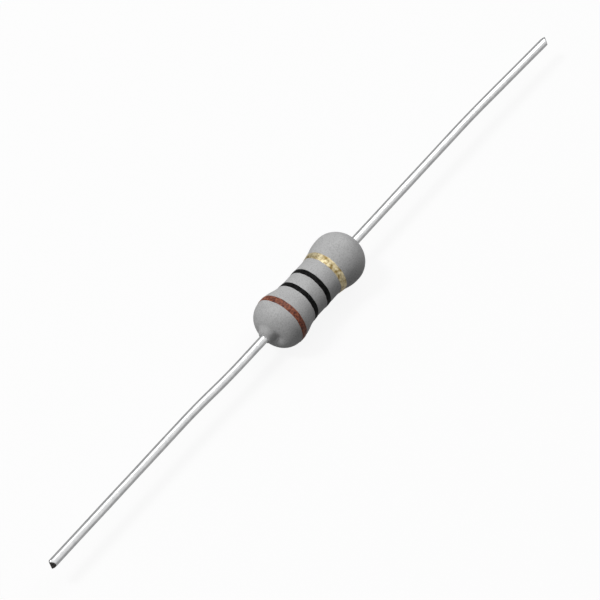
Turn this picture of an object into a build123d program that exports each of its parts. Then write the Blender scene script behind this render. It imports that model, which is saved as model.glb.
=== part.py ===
"""Axial film resistor of the one-watt size: an enamel body with four colour bands and two wire leads.

Millimetres. The origin is the middle of the enamel body. +X runs along the body, from the brown band's
end (left) to the gold band's end (right), and +Z is up.
"""

import os
from math import atan2, radians, sqrt, tan

from build123d import *

# Ceramic rod and the resistive film on it
rod_diameter = 3.40
rod_length = 9.20
rod_edge_clearance = 0.02
film_thickness = 0.03
groove_width = 0.22
groove_pitch = 1.32
groove_to_cap = 0.60

# End caps, pressed from thin strip and forced over the film
cap_wall = 0.25
cap_length = 2.27
cap_inner_chamfer = 0.15

# Wire leads, measured from the end faces of the enamel body
wire_diameter = 0.78
weld_foot_diameter = 1.15
weld_foot_height = 0.30
tip_chamfer = 0.06
bend_plane_degrees = 204.5
left_lead_length = 28.7
left_jog_start = 5.4
left_jog_run = 4.2
left_jog_offset = 0.21
left_bend_share = 0.45
right_lead_length = 28.7
right_bend_start = 17.5
right_bend_degrees = 1.75
right_bend_share = 0.20

# Enamel coat
coat_over_film = 0.285
coat_over_left_cap = 0.445
coat_over_right_cap = 0.475
coat_past_left_cap = 1.10
coat_past_right_cap = 1.20
left_shoulder_half = 1.28
left_shoulder_share = 0.40
right_shoulder_half = 1.355
right_shoulder_share = 0.545
left_end_flat_radius = 0.57
right_end_flat_radius = 0.39
shortest_crest = 0.02
collar_lip = 0.03
left_collar_climb = 0.42
right_collar_climb = 0.20

# Painted bands, placed by their middles
paint_thickness = 0.03
brown_band_width = 0.60
brown_band_from_left_end = 2.03
black_band_width = 0.50
brown_to_first_black = 2.23
first_to_second_black = 1.75
gold_band_width = 0.63
gold_band_from_right_end = 4.01

# Radii, from the axis outwards
rod_radius = rod_diameter / 2
wire_radius = wire_diameter / 2
film_radius = rod_radius + film_thickness
cap_radius = film_radius + cap_wall
rod_chamfer = cap_inner_chamfer + rod_edge_clearance
cap_chamfer = cap_inner_chamfer + (2 - sqrt(2)) * cap_wall
waist_radius = film_radius + coat_over_film
left_bulge_radius = cap_radius + coat_over_left_cap
right_bulge_radius = cap_radius + coat_over_right_cap
collar_top = wire_radius + collar_lip
left_corner = left_bulge_radius - left_end_flat_radius
right_corner = right_bulge_radius - right_end_flat_radius

# Places along the axis
body_length = coat_past_left_cap + cap_wall + rod_length + cap_wall + coat_past_right_cap
left_end = -body_length / 2
right_end = body_length / 2
left_cap_face = left_end + coat_past_left_cap
right_cap_face = right_end - coat_past_right_cap
rod_left = left_cap_face + cap_wall
rod_right = right_cap_face - cap_wall
left_rim = left_cap_face + cap_length
right_rim = right_cap_face - cap_length
brown_band_x = left_end + brown_band_from_left_end
first_black_band_x = brown_band_x + brown_to_first_black
second_black_band_x = first_black_band_x + first_to_second_black
gold_band_x = right_end - gold_band_from_right_end
left_crest_start = left_end + left_corner
left_crest_end = max(left_rim - left_shoulder_half, left_crest_start + shortest_crest)
right_crest_start = right_end - right_corner
right_crest_end = min(right_rim + right_shoulder_half, right_crest_start - shortest_crest)

os.makedirs("parts", exist_ok=True)


# Ceramic rod, with chamfered edges that clear the caps' inner corners
with BuildPart() as ceramic_rod:
    with BuildSketch(Plane.YZ.offset(rod_left)):
        Circle(rod_radius)
    extrude(amount=rod_length)
    chamfer(ceramic_rod.edges().filter_by(GeomType.CIRCLE), rod_chamfer)
ceramic_rod.part.label = "ceramic_rod"
export_step(ceramic_rod.part, "parts/ceramic_rod.step")


# Resistive film: a sleeve on the rod, with the helical trim groove cut through it between the caps
with BuildPart() as resistive_film:
    with BuildSketch(Plane.YZ.offset(rod_left + rod_chamfer)):
        Circle(film_radius)
        Circle(rod_radius, mode=Mode.SUBTRACT)
    extrude(amount=rod_length - 2 * rod_chamfer)
    with BuildLine() as groove_route:
        Helix(
            pitch=groove_pitch,
            height=right_rim - left_rim - 2 * groove_to_cap,
            radius=film_radius,
            center=(left_rim + groove_to_cap, 0, 0),
            direction=(1, 0, 0),
        )
    groove_start = groove_route.line @ 0
    radial = Vector(0, groove_start.Y, groove_start.Z)
    with BuildSketch(Plane(origin=groove_start, x_dir=radial, z_dir=groove_route.line % 0)):
        Rectangle(4 * film_thickness, groove_width)
    sweep(path=groove_route.line, is_frenet=True, mode=Mode.SUBTRACT)
resistive_film.part.label = "resistive_film"
export_step(resistive_film.part, "parts/resistive_film.step")


# End caps: a pressed cup with a coined edge round its closed face, which the lead is welded to
def end_cap(closed_face, inward):
    """A cup whose closed face stands at x = closed_face and whose rim lies cap_length inward from it."""
    with BuildPart() as cup:
        with BuildSketch(Plane.YZ.offset(closed_face)):
            Circle(cap_radius)
        extrude(amount=inward * cap_length)
        closed_edge = cup.edges().filter_by(GeomType.CIRCLE).sort_by_distance((closed_face, 0, 0))[0]
        chamfer(closed_edge, cap_chamfer)
        rim_face = cup.faces().filter_by(GeomType.PLANE).sort_by_distance((closed_face, 0, 0))[-1]
        offset(amount=-cap_wall, openings=rim_face)
    return cup


left_end_cap = end_cap(left_cap_face, 1)
left_end_cap.part.label = "left_end_cap"
export_step(left_end_cap.part, "parts/left_end_cap.step")

right_end_cap = end_cap(right_cap_face, -1)
right_end_cap.part.label = "right_end_cap"
export_step(right_end_cap.part, "parts/right_end_cap.step")


# Wire leads: one wire swept along straight runs and large arcs, with a cone of weld at its cap
bend_plane = Plane.XY.rotated((bend_plane_degrees, 0, 0))


def bend_radius(run, share, turn_degrees):
    """Radius whose arc takes up the given share of the shorter run beside the bend."""
    return share * run / tan(radians(turn_degrees) / 2)


def wire_lead(points, radii):
    """A wire through the points, laid in the bend plane, from its weld on a cap to its cut-off tip."""
    outward = 1 if points[-1][0] > points[0][0] else -1
    foot = points[0][0]
    foot_end = foot + outward * weld_foot_height
    with BuildPart() as lead:
        with BuildLine(bend_plane) as route:
            FilletPolyline(*points, radius=radii)
        with BuildSketch(Plane(origin=route.line @ 0, z_dir=route.line % 0)):
            Circle(wire_radius)
        sweep(path=route.line)
        cut_face = lead.faces().filter_by(GeomType.PLANE).sort_by_distance(route.line @ 1)[0]
        chamfer(cut_face.edges(), tip_chamfer)
        with BuildSketch():
            with BuildLine():
                Polyline(
                    (foot, 0),
                    (foot, weld_foot_diameter / 2),
                    (foot_end, wire_radius),
                    (foot_end, 0),
                    close=True,
                )
            make_face()
        revolve(axis=Axis.X)
    return lead


jog_turn_degrees = atan2(left_jog_offset, left_jog_run) / radians(1)
left_tip = left_end - left_lead_length
left_jog_x = left_end - left_jog_start
left_lead = wire_lead(
    [
        (left_cap_face, 0),
        (left_jog_x, 0),
        (left_jog_x - left_jog_run, -left_jog_offset),
        (left_tip, -left_jog_offset),
    ],
    [bend_radius(left_jog_run, left_bend_share, jog_turn_degrees)] * 2,
)
left_lead.part.label = "left_lead"
export_step(left_lead.part, "parts/left_lead.step")

right_tip = right_end + right_lead_length
right_bend_x = right_end + right_bend_start
right_tip_rise = (right_tip - right_bend_x) * tan(radians(right_bend_degrees))
right_lead = wire_lead(
    [(right_cap_face, 0), (right_bend_x, 0), (right_tip, right_tip_rise)],
    [bend_radius(right_tip - right_bend_x, right_bend_share, right_bend_degrees)],
)
right_lead.part.label = "right_lead"
export_step(right_lead.part, "parts/right_lead.step")


# Enamel coat: two bulges over the caps, S-curved shoulders down to a straight waist, a collar at each wire
def shoulder(start, end, share):
    """Two arcs, level at both ends, that meet where share of the straight line between the ends is run."""
    meeting = Vector(start) + (Vector(end) - Vector(start)) * share
    first = TangentArc(start, meeting, tangent=(1, 0))
    TangentArc(meeting, end, tangent=first % 1)


def collar(end, outward, climb):
    """Section of a cone that climbs the wire from the end face, rooted as deep inside the coat."""
    with BuildSketch() as cone:
        with BuildLine():
            Polyline(
                (end + outward * climb, 0),
                (end + outward * climb, collar_top),
                (end - outward * climb, collar_top + 2 * climb),
                (end - outward * climb, 0),
                close=True,
            )
        make_face()
    return cone.sketch


with BuildSketch() as coat_outline:
    with BuildLine():
        left_face = Line((left_end, 0), (left_end, left_end_flat_radius))
        left_arc = TangentArc(left_face @ 1, (left_crest_start, left_bulge_radius), tangent=(0, 1))
        left_crest = Line(left_arc @ 1, (left_crest_end, left_bulge_radius))
        waist = Line(
            (left_rim + left_shoulder_half, waist_radius),
            (right_rim - right_shoulder_half, waist_radius),
        )
        shoulder(left_crest @ 1, waist @ 0, left_shoulder_share)
        right_crest = Line((right_crest_end, right_bulge_radius), (right_crest_start, right_bulge_radius))
        shoulder(waist @ 1, right_crest @ 0, right_shoulder_share)
        right_arc = TangentArc(right_crest @ 1, (right_end, right_end_flat_radius), tangent=(1, 0))
        Polyline(right_arc @ 1, (right_end, 0), left_face @ 0)
    make_face()

with BuildPart() as coating:
    with BuildSketch():
        add(coat_outline.sketch)
        add(collar(left_end, -1, left_collar_climb))
        add(collar(right_end, 1, right_collar_climb))
    revolve(axis=Axis.X)
    with BuildSketch(Plane.YZ.offset(rod_left)):
        Circle(film_radius)
    extrude(amount=rod_length, mode=Mode.SUBTRACT)
    for inner_piece in (left_end_cap, right_end_cap, left_lead, right_lead):
        add(inner_piece.part, mode=Mode.SUBTRACT)
coating.part.label = "coating"
export_step(coating.part, "parts/coating.step")


# Painted bands: thin rings that follow the coat's outline
for band_name, band_x, band_width in (
    ("brown_band", brown_band_x, brown_band_width),
    ("first_black_band", first_black_band_x, black_band_width),
    ("second_black_band", second_black_band_x, black_band_width),
    ("gold_band", gold_band_x, gold_band_width),
):
    with BuildPart() as band:
        with BuildSketch():
            add(coat_outline.sketch)
            offset(amount=paint_thickness)
            with Locations((band_x, right_bulge_radius)):
                Rectangle(band_width, 2 * right_bulge_radius, mode=Mode.INTERSECT)
            add(coat_outline.sketch, mode=Mode.SUBTRACT)
        revolve(axis=Axis.X)
    band.part.label = band_name
    export_step(band.part, f"parts/{band_name}.step")
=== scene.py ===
"""Looks of an axial film resistor: grey enamel body, four painted colour bands and two tinned wire leads.

Blender metres, in the part's own frame: the body's middle is the origin, +X runs from the brown band's end
to the gold band's end and +Z is up. Sizes below are millimetres unless a comment says otherwise.
"""

import math

import bpy
import numpy as np
from mathutils import Matrix, Vector


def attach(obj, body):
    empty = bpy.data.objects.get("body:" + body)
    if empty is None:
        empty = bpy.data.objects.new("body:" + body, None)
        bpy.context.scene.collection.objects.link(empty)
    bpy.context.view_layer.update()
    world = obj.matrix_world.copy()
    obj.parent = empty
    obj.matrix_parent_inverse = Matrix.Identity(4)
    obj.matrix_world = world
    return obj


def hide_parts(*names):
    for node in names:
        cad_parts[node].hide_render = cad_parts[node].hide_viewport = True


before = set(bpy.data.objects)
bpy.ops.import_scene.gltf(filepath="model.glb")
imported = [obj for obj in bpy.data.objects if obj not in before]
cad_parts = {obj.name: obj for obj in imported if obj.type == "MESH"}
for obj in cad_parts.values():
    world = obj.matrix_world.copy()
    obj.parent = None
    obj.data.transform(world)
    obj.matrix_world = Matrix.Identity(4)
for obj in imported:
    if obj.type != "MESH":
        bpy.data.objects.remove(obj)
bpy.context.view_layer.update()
MM = 0.001


# Enamel body
# A flameproof silicone enamel, dipped and rolled over the capped ceramic rod and baked. It swells over the
# two end caps, sinks to a straight waist between them and creeps up each wire in a small collar. The left
# collar leans to one side and has a dimple on the other.
BODY_END = 6.0
LEFT_BULGE, RIGHT_BULGE, WAIST = 2.425, 2.455, 2.015
LEFT_FLAT, RIGHT_FLAT = 0.57, 0.39
LEFT_CREST_END, WAIST_START, LEFT_SHARE = -3.91, -1.35, 0.40
WAIST_END, RIGHT_CREST_END, RIGHT_SHARE = 1.175, 3.885, 0.545
WIRE, COLLAR_LIP = 0.39, 0.03
LEFT_CLIMB, RIGHT_CLIMB = 0.42, 0.20
COLLAR_SHELF, COLLAR_FOOT, COLLAR_LEAN = 0.52, 0.92, math.radians(78)
LEFT_SWING, RIGHT_SWING = 0.25, 0.08
DIMPLE_DEPTH, DIMPLE_RADIUS, DIMPLE_ANGLE = 0.36, 0.86, math.radians(174)
DIMPLE_INWARD, DIMPLE_OUTWARD, DIMPLE_SPREAD = 0.26, 0.60, 0.66
FILM, CAP, CAP_CHAMFER = 1.73, 1.98, 0.296
LEFT_CAP_FACE, LEFT_RIM, RIGHT_RIM, RIGHT_CAP_FACE = -4.9, -2.63, 2.53, 4.8
WELD, WELD_HEIGHT = 0.575, 0.30
DOME_START, COLLAR_REACH, COLLAR_ROWS, WAVE_FADE = 4.5, 1.3, 30, 1.2
AROUND = 256


def dome(bulge, flat, count=52):
    """End of the body as (distance from the middle, radius), from the wire up to the crest.

    It is flat out to radius flat and a quarter circle from there on. The rows stand close together out to
    COLLAR_REACH, where the collar is laid on them.
    """
    corner = bulge - flat
    turn = np.radians(np.linspace(0, 90, count))
    circle = np.stack([BODY_END - corner + corner * np.cos(turn), flat + corner * np.sin(turn)], axis=1)
    start = WIRE + COLLAR_LIP
    near = np.linspace(start, COLLAR_REACH, COLLAR_ROWS)
    radius = np.concatenate([near, circle[circle[:, 1] > COLLAR_REACH + 0.02, 1]])
    end = BODY_END - corner + np.sqrt(corner**2 - np.maximum(radius - flat, 0) ** 2)
    return np.stack([end, radius], axis=1)


def collar(radius, angle, climb, swing, dimple):
    """How far the end of the coat stands out round the wire, in millimetres.

    It is climb out to COLLAR_SHELF and falls by the smooth step 3s^2 - 2s^3 to nothing at the foot, whose
    radius is COLLAR_FOOT plus swing times the cosine of the angle from COLLAR_LEAN. A dimple, the product of
    two bell curves exp(-t^2), sinks into the other side, steep towards the wire and gentle away from it.
    """
    foot = COLLAR_FOOT + swing * np.cos(angle - COLLAR_LEAN)
    fall = np.clip((radius - COLLAR_SHELF) / (foot - COLLAR_SHELF), 0, 1)
    slope = np.where(radius < DIMPLE_RADIUS, DIMPLE_INWARD, DIMPLE_OUTWARD)
    turned_by = (angle - DIMPLE_ANGLE) / DIMPLE_SPREAD
    hollow = np.exp(-(((radius - DIMPLE_RADIUS) / slope) ** 2) - turned_by**2)
    return climb * (1 - 3 * fall**2 + 2 * fall**3) - dimple * hollow


def shoulder(start, end, share, count=40):
    """An S of two arcs, level at both ends, that meet at the given share of the line between the ends."""
    start, end = np.array(start), np.array(end)
    meeting = start + (end - start) * share
    x = np.linspace(start[0], end[0], count)
    halves = []
    for level, reach in ((start, x[x < meeting[0]]), (end, x[x >= meeting[0]])):
        run, rise = meeting - level
        radius = (run**2 + rise**2) / (2 * abs(rise))
        drop = radius - np.sqrt(radius**2 - (reach - level[0]) ** 2)
        halves.append(np.stack([reach, level[1] + np.sign(rise) * drop], axis=1))
    return np.concatenate(halves)


def enamel_wave(x, angle):
    """Slow unevenness of the rolled coat in millimetres.

    A sum of three low waves, depth * (sin(turns * angle + slant * x + start) - 1), which only ever sink.
    """
    return (
        0.007 * (np.sin(2 * angle + 0.9 * x + 0.4) - 1)
        + 0.004 * (np.sin(3 * angle - 1.3 * x + 2.1) - 1)
        + 0.003 * (np.sin(5 * angle + 2.2 * x + 1.0) - 1)
    )


def turned(x, radius, angle):
    """Points turned about the X axis: y is radius times cosine and z is radius times sine."""
    return np.stack([x + 0 * angle, radius * np.cos(angle), radius * np.sin(angle)], axis=-1)


def surface(name, grid, closed=False):
    """A mesh on a grid of points (row, column, xyz in millimetres) whose columns run right round.

    Each face joins point (row, column) to its neighbours in the next row and column. The rows either close
    on the first one or end in one flat face each.
    """
    rows, columns = grid.shape[:2]
    index = np.arange(rows * columns).reshape(rows, columns)
    here = index if closed else index[:-1]
    there = np.roll(index, -1, axis=0) if closed else index[1:]
    quads = np.stack([here, there, np.roll(there, -1, axis=1), np.roll(here, -1, axis=1)], axis=-1)
    faces = quads.reshape(-1, 4).tolist()
    if not closed:
        faces += [index[0].tolist(), index[-1][::-1].tolist()]
    mesh = bpy.data.meshes.new(name)
    mesh.from_pydata((grid.reshape(-1, 3) * MM).tolist(), [], faces)
    mesh.shade_smooth()
    piece = bpy.data.objects.new(name, mesh)
    bpy.context.scene.collection.objects.link(piece)
    return piece


def linear(code):
    """Linear RGBA of an sRGB hex colour such as 'a0a0a0'."""
    value = np.array([int(code[i : i + 2], 16) for i in (0, 2, 4)]) / 255
    value = np.where(value <= 0.04045, value / 12.92, ((value + 0.055) / 1.055) ** 2.4)
    return (*value.tolist(), 1.0)


def add_node(tree, kind, inputs=None, stops=(), **settings):
    """Adds a node. Each input takes a value or another node's output, and stops are a ramp's colours."""
    node = tree.nodes.new(kind)
    for name, value in settings.items():
        setattr(node, name, value)
    for name, value in (inputs or {}).items():
        if isinstance(value, bpy.types.NodeSocket):
            tree.links.new(value, node.inputs[name])
        else:
            node.inputs[name].default_value = value
    for stop, (position, code) in zip(node.color_ramp.elements if stops else (), stops):
        stop.position, stop.color = position, linear(code)
    return node


def finish(name, **sockets):
    """A material with one Principled shader, as (material, tree, shader, object coordinates)."""
    made = bpy.data.materials.new(name)
    made.use_nodes = True
    tree = made.node_tree
    shader = tree.nodes["Principled BSDF"]
    for socket, value in sockets.items():
        shader.inputs[socket.replace("_", " ")].default_value = value
    return made, tree, shader, add_node(tree, "ShaderNodeTexCoord").outputs["Object"]


def pattern(size):
    """Scale of a texture whose features are size millimetres across."""
    return 1 / (size * MM)


# Baked silicone enamel: matte grey with faint clouds of tone, a fine sandy grain and a soft sheen
enamel, tree, shader, place = finish("baked_grey_enamel", Roughness=0.55, IOR=1.45)
clouds = add_node(tree, "ShaderNodeTexNoise", {"Vector": place, "Scale": pattern(1.4), "Detail": 3.0})
tone = add_node(
    tree,
    "ShaderNodeValToRGB",
    {"Fac": clouds.outputs["Fac"]},
    stops=[(0.30, "b8b8b8"), (0.70, "c1c1c1")],
)
grain = add_node(tree, "ShaderNodeTexNoise", {"Vector": place, "Scale": pattern(0.10), "Detail": 4.0})
speck = add_node(
    tree,
    "ShaderNodeValToRGB",
    {"Fac": grain.outputs["Fac"]},
    stops=[(0.32, "dedede"), (0.55, "ffffff")],
)
sandy = add_node(
    tree,
    "ShaderNodeMix",
    {0: 1.0, 6: tone.outputs["Color"], 7: speck.outputs["Color"]},
    data_type="RGBA",
    blend_type="MULTIPLY",
)
tree.links.new(sandy.outputs[2], shader.inputs["Base Color"])
skin = add_node(
    tree, "ShaderNodeBump", {"Height": grain.outputs["Fac"], "Strength": 0.25, "Distance": 0.02 * MM}
)
tree.links.new(skin.outputs["Normal"], shader.inputs["Normal"])

left_dome = dome(LEFT_BULGE, LEFT_FLAT) * (-1, 1)
right_dome = dome(RIGHT_BULGE, RIGHT_FLAT)[::-1]
waist_x = np.linspace(WAIST_START, WAIST_END, 24)[1:-1]
coat = np.concatenate(
    [
        left_dome,
        shoulder((LEFT_CREST_END, LEFT_BULGE), (WAIST_START, WAIST), LEFT_SHARE),
        np.stack([waist_x, np.full_like(waist_x, WAIST)], axis=1),
        shoulder((WAIST_END, WAIST), (RIGHT_CREST_END, RIGHT_BULGE), RIGHT_SHARE),
        right_dome,
    ]
)
inside = np.array(
    [
        (BODY_END + RIGHT_CLIMB, WIRE),
        (RIGHT_CAP_FACE + WELD_HEIGHT, WIRE),
        (RIGHT_CAP_FACE, WELD),
        (RIGHT_CAP_FACE, CAP - CAP_CHAMFER),
        (RIGHT_CAP_FACE - CAP_CHAMFER, CAP),
        (RIGHT_RIM, CAP),
        (RIGHT_RIM, FILM),
        (LEFT_RIM, FILM),
        (LEFT_RIM, CAP),
        (LEFT_CAP_FACE + CAP_CHAMFER, CAP),
        (LEFT_CAP_FACE, CAP - CAP_CHAMFER),
        (LEFT_CAP_FACE, WELD),
        (LEFT_CAP_FACE - WELD_HEIGHT, WIRE),
        (-BODY_END - LEFT_CLIMB, WIRE),
    ]
)
angle = np.linspace(0, 2 * math.pi, AROUND, endpoint=False)
x, radius = coat[:, :1], coat[:, 1:]
fade = np.clip((radius - WIRE) / WAVE_FADE, 0, 1)
left_collar = np.where(x < -DOME_START, collar(radius, angle, LEFT_CLIMB, LEFT_SWING, DIMPLE_DEPTH), 0)
right_collar = np.where(x > DOME_START, collar(radius, angle, RIGHT_CLIMB, RIGHT_SWING, 0), 0)
coat_rings = turned(x - left_collar + right_collar, radius + fade * enamel_wave(x, angle), angle)
inside_rings = turned(inside[:, :1], inside[:, 1:], angle)
body = surface("enamel_body", np.concatenate([coat_rings, inside_rings])[:, ::-1], closed=True)
body.data.materials.append(enamel)
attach(body, "root")
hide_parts("coating")


# Colour bands
# Rings of thick stoving paint, rolled onto the turning body by a narrow wheel: brown, black, black and gold.
# Their edges wander a little, and the paint is thickest along the middle.
PAINT, PAINT_SINK = 0.03, 0.004


def painted_band(name, node, middle, width, wander, phase, paint):
    """A ring of paint: across it, s runs from -1 to 1 and the paint stands PAINT * (1 - s^6)^(1/2) high."""
    edge = np.stack(
        [
            np.sin(3 * angle + phase) + 0.6 * np.sin(8 * angle + 2 * phase) + 0.5 * np.sin(19 * angle),
            np.sin(4 * angle - phase) + 0.6 * np.sin(9 * angle + phase) + 0.5 * np.sin(17 * angle + phase),
        ]
    )
    left, right = middle + wander * edge + np.array([[-width / 2], [width / 2]])
    s = np.sin(np.linspace(-math.pi / 2, math.pi / 2, 21))[:, None]
    x = (left + right) / 2 + s * (right - left) / 2
    bed = np.interp(x, coat[:, 0], coat[:, 1]) + enamel_wave(x, angle)
    top = turned(x, bed + PAINT * np.sqrt(np.clip(1 - s**6, 0, 1)), angle)
    under = turned(x, bed - PAINT_SINK, angle)[::-1]
    ring = surface(name, np.concatenate([top, under])[:, ::-1], closed=True)
    ring.data.materials.append(paint)
    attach(ring, "root")
    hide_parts(node)


def stoving_paint(name, dark, light, blotch_size, **sockets):
    """Satin stoving paint: two tones in blotches of the given size, under a skin of fine brush lines."""
    made, tree, shader, place = finish(name, **sockets)
    blotch = add_node(
        tree, "ShaderNodeTexNoise", {"Vector": place, "Scale": pattern(blotch_size), "Detail": 4.0}
    )
    tone = add_node(
        tree,
        "ShaderNodeValToRGB",
        {"Fac": blotch.outputs["Fac"]},
        stops=[(0.38, dark), (0.62, light)],
    )
    tree.links.new(tone.outputs["Color"], shader.inputs["Base Color"])
    grain = add_node(tree, "ShaderNodeTexNoise", {"Vector": place, "Scale": pattern(0.07), "Detail": 3.0})
    skin = add_node(
        tree, "ShaderNodeBump", {"Height": grain.outputs["Fac"], "Strength": 0.35, "Distance": 0.02 * MM}
    )
    tree.links.new(skin.outputs["Normal"], shader.inputs["Normal"])
    return made


brown = stoving_paint(
    "brown_stoving_paint", "4c2019", "96583f", 0.20, Roughness=0.5, IOR=1.45, Specular_IOR_Level=0.42
)
black = stoving_paint(
    "black_stoving_paint", "040404", "1c1c1c", 0.16, Roughness=0.45, IOR=1.45, Specular_IOR_Level=0.05
)

# Gold paint: bronze flakes in clear varnish, each flake catching the light at its own tilt
gold, tree, shader, place = finish("gold_flake_paint", Roughness=0.42, Metallic=0.75)
flake = add_node(tree, "ShaderNodeTexVoronoi", {"Vector": place, "Scale": pattern(0.09)})
patch = add_node(tree, "ShaderNodeTexNoise", {"Vector": place, "Scale": pattern(0.33), "Detail": 3.0})
tone = add_node(
    tree,
    "ShaderNodeValToRGB",
    {"Fac": patch.outputs["Fac"]},
    stops=[(0.34, "8a733f"), (0.62, "e8dab2")],
)
tree.links.new(tone.outputs["Color"], shader.inputs["Base Color"])
tilt = add_node(
    tree, "ShaderNodeBump", {"Height": flake.outputs["Color"], "Strength": 0.35, "Distance": 0.02 * MM}
)
tree.links.new(tilt.outputs["Normal"], shader.inputs["Normal"])

painted_band("brown_ring", "brown_band", -3.97, 0.60, 0.013, 0.6, brown)
painted_band("first_black_ring", "first_black_band", -1.74, 0.50, 0.011, 1.9, black)
painted_band("second_black_ring", "second_black_band", 0.01, 0.50, 0.013, 3.3, black)
painted_band("gold_ring", "gold_band", 1.99, 0.63, 0.014, 4.4, gold)


# Wire leads
# Soft copper wire, drawn and hot-dipped in tin, butt-welded to the caps and nipped off by cutters. The left
# one has a slight jog near the body and the right one bends gently towards its end.
LEAD_LENGTH = 28.7
BEND_PLANE = math.radians(204.5)
JOG_START, JOG_RUN, JOG_OFFSET, JOG_SHARE = 5.4, 4.2, 0.21, 0.45
RIGHT_BEND_START, RIGHT_BEND, RIGHT_SHARE_OF_RUN = 17.5, math.radians(1.75), 0.20
NIP_DEPTH, NIP_TILT, NIP_GAP, NIP_RIM = 0.30, math.radians(-45), 0.05, 0.97
TIN_WAVE, TIN_WAVE_START = 0.003, 1.2
WIRE_AROUND, WIRE_ROWS, NIP_ROWS = 64, 180, 9


def bent_line(corners, reach):
    """A line through the corners (distance, offset), each rounded over reach millimetres on both sides.

    A rounded corner is the parabola (1-t)^2 start + 2t(1-t) corner + t^2 end, which at a turn of one to three
    degrees lies within a micron of the arc.
    """
    corners = np.array(corners, float)
    pieces = [corners[:1]]
    share = np.linspace(0, 1, 13)[:, None]
    for before, corner, after in zip(corners, corners[1:], corners[2:]):
        start = corner + (before - corner) / np.linalg.norm(before - corner) * reach
        end = corner + (after - corner) / np.linalg.norm(after - corner) * reach
        pieces.append((1 - share) ** 2 * start + 2 * share * (1 - share) * corner + share**2 * end)
    return np.concatenate([*pieces, corners[-1:]])


def tinned_lead(name, node, corners, reach):
    """Wire swept along the bent line, from its cone of weld to its nipped end.

    Rings of points stand square to the line. The tin runs along it in slow waves, TIN_WAVE * sin(0.9 along +
    2 turn). At the cut the rings close up, and the end falls back from the cutters' ridge to both sides as a
    roof does: by NIP_DEPTH * radius / WIRE * |cos(turn - NIP_TILT)|.
    """
    line = bent_line(corners, reach)
    outward = np.sign(line[-1, 0])
    length = np.concatenate([[0], np.cumsum(np.linalg.norm(np.diff(line, axis=0), axis=1))])
    body_rows = np.linspace(WELD_HEIGHT, length[-1] - NIP_DEPTH - NIP_GAP, WIRE_ROWS)
    shrink = np.sqrt(1 - np.linspace(0, 1, NIP_ROWS) ** 4)
    along = np.concatenate([[0], body_rows, np.full(NIP_ROWS, length[-1])])[:, None]
    closing = NIP_RIM * WIRE * np.clip(shrink, 0.02, 1)
    radius = np.concatenate([[WELD], np.full(WIRE_ROWS, WIRE), closing])[:, None]
    turn = np.linspace(0, 2 * math.pi, WIRE_AROUND, endpoint=False)
    wave = np.where((along > TIN_WAVE_START) & (along < length[-1]), TIN_WAVE, 0)
    radius = radius + wave * np.sin(0.9 * along + 2 * turn)
    fall = np.where(along == length[-1], radius / WIRE * NIP_DEPTH * np.abs(np.cos(turn - NIP_TILT)), 0)
    across, up = radius * np.cos(turn), radius * np.sin(turn)
    slope = np.interp(along, length, np.gradient(line[:, 1], line[:, 0]))
    x = np.interp(along, length, line[:, 0]) - outward * fall - across * np.sin(np.arctan(slope))
    sideways = np.interp(along, length, line[:, 1]) + across * np.cos(np.arctan(slope))
    y = sideways * math.cos(BEND_PLANE) - up * math.sin(BEND_PLANE)
    z = sideways * math.sin(BEND_PLANE) + up * math.cos(BEND_PLANE)
    rings = np.stack([x, y, z], axis=-1)
    lead = surface(name, rings if outward < 0 else rings[:, ::-1])
    lead.data.materials.append(tin)
    lead.data.materials.append(nipped)
    # The last rings and the face that closes them take the copper painted dark as painted shade, and the face
    # on the cap stays tin.
    copper_painted_shade = np.zeros(len(lead.data.polygons), dtype=np.int32)
    copper_painted_shade[(WIRE_ROWS + 1) * WIRE_AROUND : -2] = 1
    copper_painted_shade[-1] = 1
    lead.data.polygons.foreach_set("material_index", copper_painted_shade)
    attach(lead, "root")
    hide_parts(node)


# Hot-dipped tin: bright, with fine lines from the drawing die and soft clouds where the tin froze
tin, tree, shader, place = finish("hot_dipped_tin", Roughness=0.22, Metallic=1.0)
stretch = add_node(tree, "ShaderNodeMapping", {"Vector": place, "Scale": (0.03, 1.0, 1.0)})
drawn = add_node(
    tree, "ShaderNodeTexNoise", {"Vector": stretch.outputs["Vector"], "Scale": pattern(0.08), "Detail": 2.0}
)
frost = add_node(tree, "ShaderNodeTexNoise", {"Vector": place, "Scale": pattern(0.5), "Detail": 4.0})
tone = add_node(
    tree,
    "ShaderNodeValToRGB",
    {"Fac": frost.outputs["Fac"]},
    stops=[(0.30, "d9dadb"), (0.70, "efefef")],
)
tree.links.new(tone.outputs["Color"], shader.inputs["Base Color"])
relief = add_node(
    tree, "ShaderNodeBump", {"Height": drawn.outputs["Fac"], "Strength": 0.12, "Distance": 0.01 * MM}
)
tree.links.new(relief.outputs["Normal"], shader.inputs["Normal"])

# Nipped copper: the torn end of the wire, dull copper painted dark grey against the tin as a painted shade
nipped, tree, shader, place = finish("nipped_copper_painted_shade", Roughness=0.5, Metallic=0.6)
torn = add_node(tree, "ShaderNodeTexNoise", {"Vector": place, "Scale": pattern(0.12), "Detail": 3.0})
tone = add_node(
    tree,
    "ShaderNodeValToRGB",
    {"Fac": torn.outputs["Fac"]},
    stops=[(0.35, "242120"), (0.65, "5c5856")],
)
tree.links.new(tone.outputs["Color"], shader.inputs["Base Color"])

jog_x = -BODY_END - JOG_START
left_tip = -BODY_END - LEAD_LENGTH
tinned_lead(
    "left_wire",
    "left_lead",
    [(LEFT_CAP_FACE, 0), (jog_x, 0), (jog_x - JOG_RUN, -JOG_OFFSET), (left_tip, -JOG_OFFSET)],
    JOG_SHARE * JOG_RUN,
)
bend_x = BODY_END + RIGHT_BEND_START
last_run = LEAD_LENGTH - RIGHT_BEND_START
right_end = (bend_x + last_run, last_run * math.tan(RIGHT_BEND))
tinned_lead(
    "right_wire",
    "right_lead",
    [(RIGHT_CAP_FACE, 0), (bend_x, 0), right_end],
    RIGHT_SHARE_OF_RUN * last_run,
)


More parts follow.
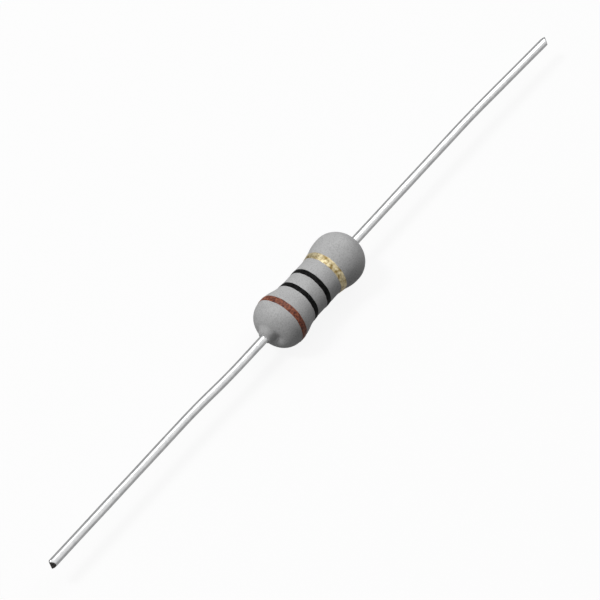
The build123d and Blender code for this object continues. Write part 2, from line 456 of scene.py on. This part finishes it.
# Hidden core
# Inside the enamel: a sintered alumina rod, the dark oxide film fired onto it with its helical trim cut, and
# two pressed steel caps with a tin flash. They keep the frame's own meshes and only take their finishes.
for name, nodes, colours, size, sockets in (
    ("sintered_alumina", ["ceramic_rod"], ("e6e2d8", "f5f2ea"), 0.12, {"Roughness": 0.7, "IOR": 1.76}),
    ("fired_oxide_film", ["resistive_film"], ("3c3f45", "565a60"), 0.6, {"Roughness": 0.35, "IOR": 2.0}),
    (
        "tin_flashed_steel",
        ["left_end_cap", "right_end_cap"],
        ("b9babb", "d3d4d5"),
        0.2,
        {"Roughness": 0.3, "Metallic": 1.0},
    ),
):
    core, tree, shader, place = finish(name, **sockets)
    cloud = add_node(tree, "ShaderNodeTexNoise", {"Vector": place, "Scale": pattern(size), "Detail": 3.0})
    tone = add_node(
        tree,
        "ShaderNodeValToRGB",
        {"Fac": cloud.outputs["Fac"]},
        stops=[(0.3, colours[0]), (0.7, colours[1])],
    )
    tree.links.new(tone.outputs["Color"], shader.inputs["Base Color"])
    for node in nodes:
        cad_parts[node].data.materials.clear()
        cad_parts[node].data.materials.append(core)


# Studio floor
# A wide sheet of white card that the resistor lies on. The camera sees it white with the resistor's soft
# shadow, metal sees it as a pale grey, and it sends only a little light back up onto the enamel.
FLOOR_HALF, FLOOR_GAP = 2000, 0.012
LENS_WHITE, METAL_WHITE = 0.90, 0.32
floor_mesh = bpy.data.meshes.new("floor")
sheet = np.array([(-1, -1, 0), (1, -1, 0), (1, 1, 0), (-1, 1, 0)]) * FLOOR_HALF
sheet = sheet - (0, 0, RIGHT_BULGE + FLOOR_GAP)
floor_mesh.from_pydata((sheet * MM).tolist(), [], [(0, 1, 2, 3)])
floor = bpy.data.objects.new("floor", floor_mesh)
bpy.context.scene.collection.objects.link(floor)

# White card: lit paper mixed with a glow, whose share depends on what looks at it
card = bpy.data.materials.new("white_card")
card.use_nodes = True
tree = card.node_tree
tree.nodes.clear()
ray = add_node(tree, "ShaderNodeLightPath").outputs
to_lens = add_node(tree, "ShaderNodeMath", {0: ray["Is Camera Ray"], 1: LENS_WHITE}, operation="MULTIPLY")
mirrored = add_node(
    tree, "ShaderNodeMath", {0: ray["Is Glossy Ray"], 1: ray["Is Transmission Ray"]}, operation="MAXIMUM"
)
to_metal = add_node(
    tree, "ShaderNodeMath", {0: mirrored.outputs[0], 1: METAL_WHITE}, operation="MULTIPLY"
)
white_share = add_node(
    tree, "ShaderNodeMath", {0: to_lens.outputs[0], 1: to_metal.outputs[0]}, operation="MAXIMUM"
)
paper_tone = add_node(
    tree,
    "ShaderNodeMix",
    {0: ray["Is Camera Ray"], 6: linear("606060"), 7: linear("f0f0f0")},
    data_type="RGBA",
)
paper = add_node(tree, "ShaderNodeBsdfDiffuse", {"Color": paper_tone.outputs[2]})
glow = add_node(tree, "ShaderNodeEmission", {"Strength": 1.0})
lit_card = add_node(
    tree, "ShaderNodeMixShader", {0: white_share.outputs[0], 1: paper.outputs[0], 2: glow.outputs[0]}
)
add_node(tree, "ShaderNodeOutputMaterial", {"Surface": lit_card.outputs[0]})
floor.data.materials.append(card)


# Studio light
# Four soft boxes: the near one is the key, the top one draws the bright line on the wires, the far and end
# ones fill the two domes. The room is a light tent, brighter to the far side and overhead.
def soft_box(name, direction, distance, size, watts):
    """A square lamp that looks at the origin from the given direction, its lengths in millimetres."""
    data = bpy.data.lights.new(name, "AREA")
    data.shape, data.size, data.energy = "SQUARE", size * MM, watts
    lamp = bpy.data.objects.new(name, data)
    way = Vector(direction).normalized()
    lamp.location = way * distance * MM
    lamp.rotation_mode = "QUATERNION"
    lamp.rotation_quaternion = way.to_track_quat("Z", "Y")
    bpy.context.scene.collection.objects.link(lamp)


soft_box("near_box", (-0.37, 0.41, 0.83), 600, 130, 1.58)
soft_box("top_box", (0.48, 0.31, 0.82), 600, 300, 0.45)
soft_box("far_box", (0.74, -0.02, 0.67), 600, 300, 0.88)
soft_box("end_box", (-0.93, -0.05, 0.36), 600, 400, 0.34)

# Light tent: the first slope and level light the enamel, and the second are what shiny surfaces mirror
FILL_SLOPE, FILL_LEVEL = (0.0, 0.18, 0.0), 0.26
SHEEN_SLOPE, SHEEN_LEVEL = (0.0, -0.18, 0.50), 0.42
world = bpy.data.worlds.new("light_tent")
bpy.context.scene.world = world
world.use_nodes = True
tree = world.node_tree
sky = tree.nodes["Background"]
way = add_node(tree, "ShaderNodeTexCoord").outputs["Generated"]
fill = add_node(tree, "ShaderNodeVectorMath", {0: way, 1: FILL_SLOPE}, operation="DOT_PRODUCT")
fill_level = add_node(tree, "ShaderNodeMath", {0: fill.outputs["Value"], 1: FILL_LEVEL}, operation="ADD")
sheen = add_node(tree, "ShaderNodeVectorMath", {0: way, 1: SHEEN_SLOPE}, operation="DOT_PRODUCT")
sheen_level = add_node(tree, "ShaderNodeMath", {0: sheen.outputs["Value"], 1: SHEEN_LEVEL}, operation="ADD")
ray = add_node(tree, "ShaderNodeLightPath").outputs
tent = add_node(
    tree,
    "ShaderNodeMix",
    {0: ray["Is Glossy Ray"], 2: fill_level.outputs[0], 3: sheen_level.outputs[0]},
)
backdrop = add_node(
    tree, "ShaderNodeMath", {0: tent.outputs[0], 1: ray["Is Camera Ray"]}, operation="MAXIMUM"
)
tree.links.new(backdrop.outputs[0], sky.inputs["Strength"])
sky.inputs["Color"].default_value = (1, 1, 1, 1)


# Camera
# Looks down along the leads from the brown band's end, as the photograph does.
AZIMUTH, ELEVATION = math.radians(-53.317), math.radians(53.549)
DISTANCE, LENS = 327.2, 232.15
PAN_RIGHT, PAN_UP = -0.847, -0.913
back = Vector(
    (
        math.sin(AZIMUTH) * math.cos(ELEVATION),
        -math.cos(AZIMUTH) * math.cos(ELEVATION),
        math.sin(ELEVATION),
    )
)
right = Vector((math.cos(AZIMUTH), math.sin(AZIMUTH), 0))
up = back.cross(right)
camera_data = bpy.data.cameras.new("camera")
camera_data.lens, camera_data.sensor_width = LENS, 36
camera_data.clip_start, camera_data.clip_end = 0.01, 10
camera = bpy.data.objects.new("camera", camera_data)
stand = Matrix.Translation((back * DISTANCE + right * PAN_RIGHT + up * PAN_UP) * MM)
camera.matrix_world = stand @ Matrix((right, up, back)).transposed().to_4x4()
bpy.context.scene.collection.objects.link(camera)
bpy.context.scene.camera = camera
bpy.context.scene.view_settings.view_transform = "Standard"
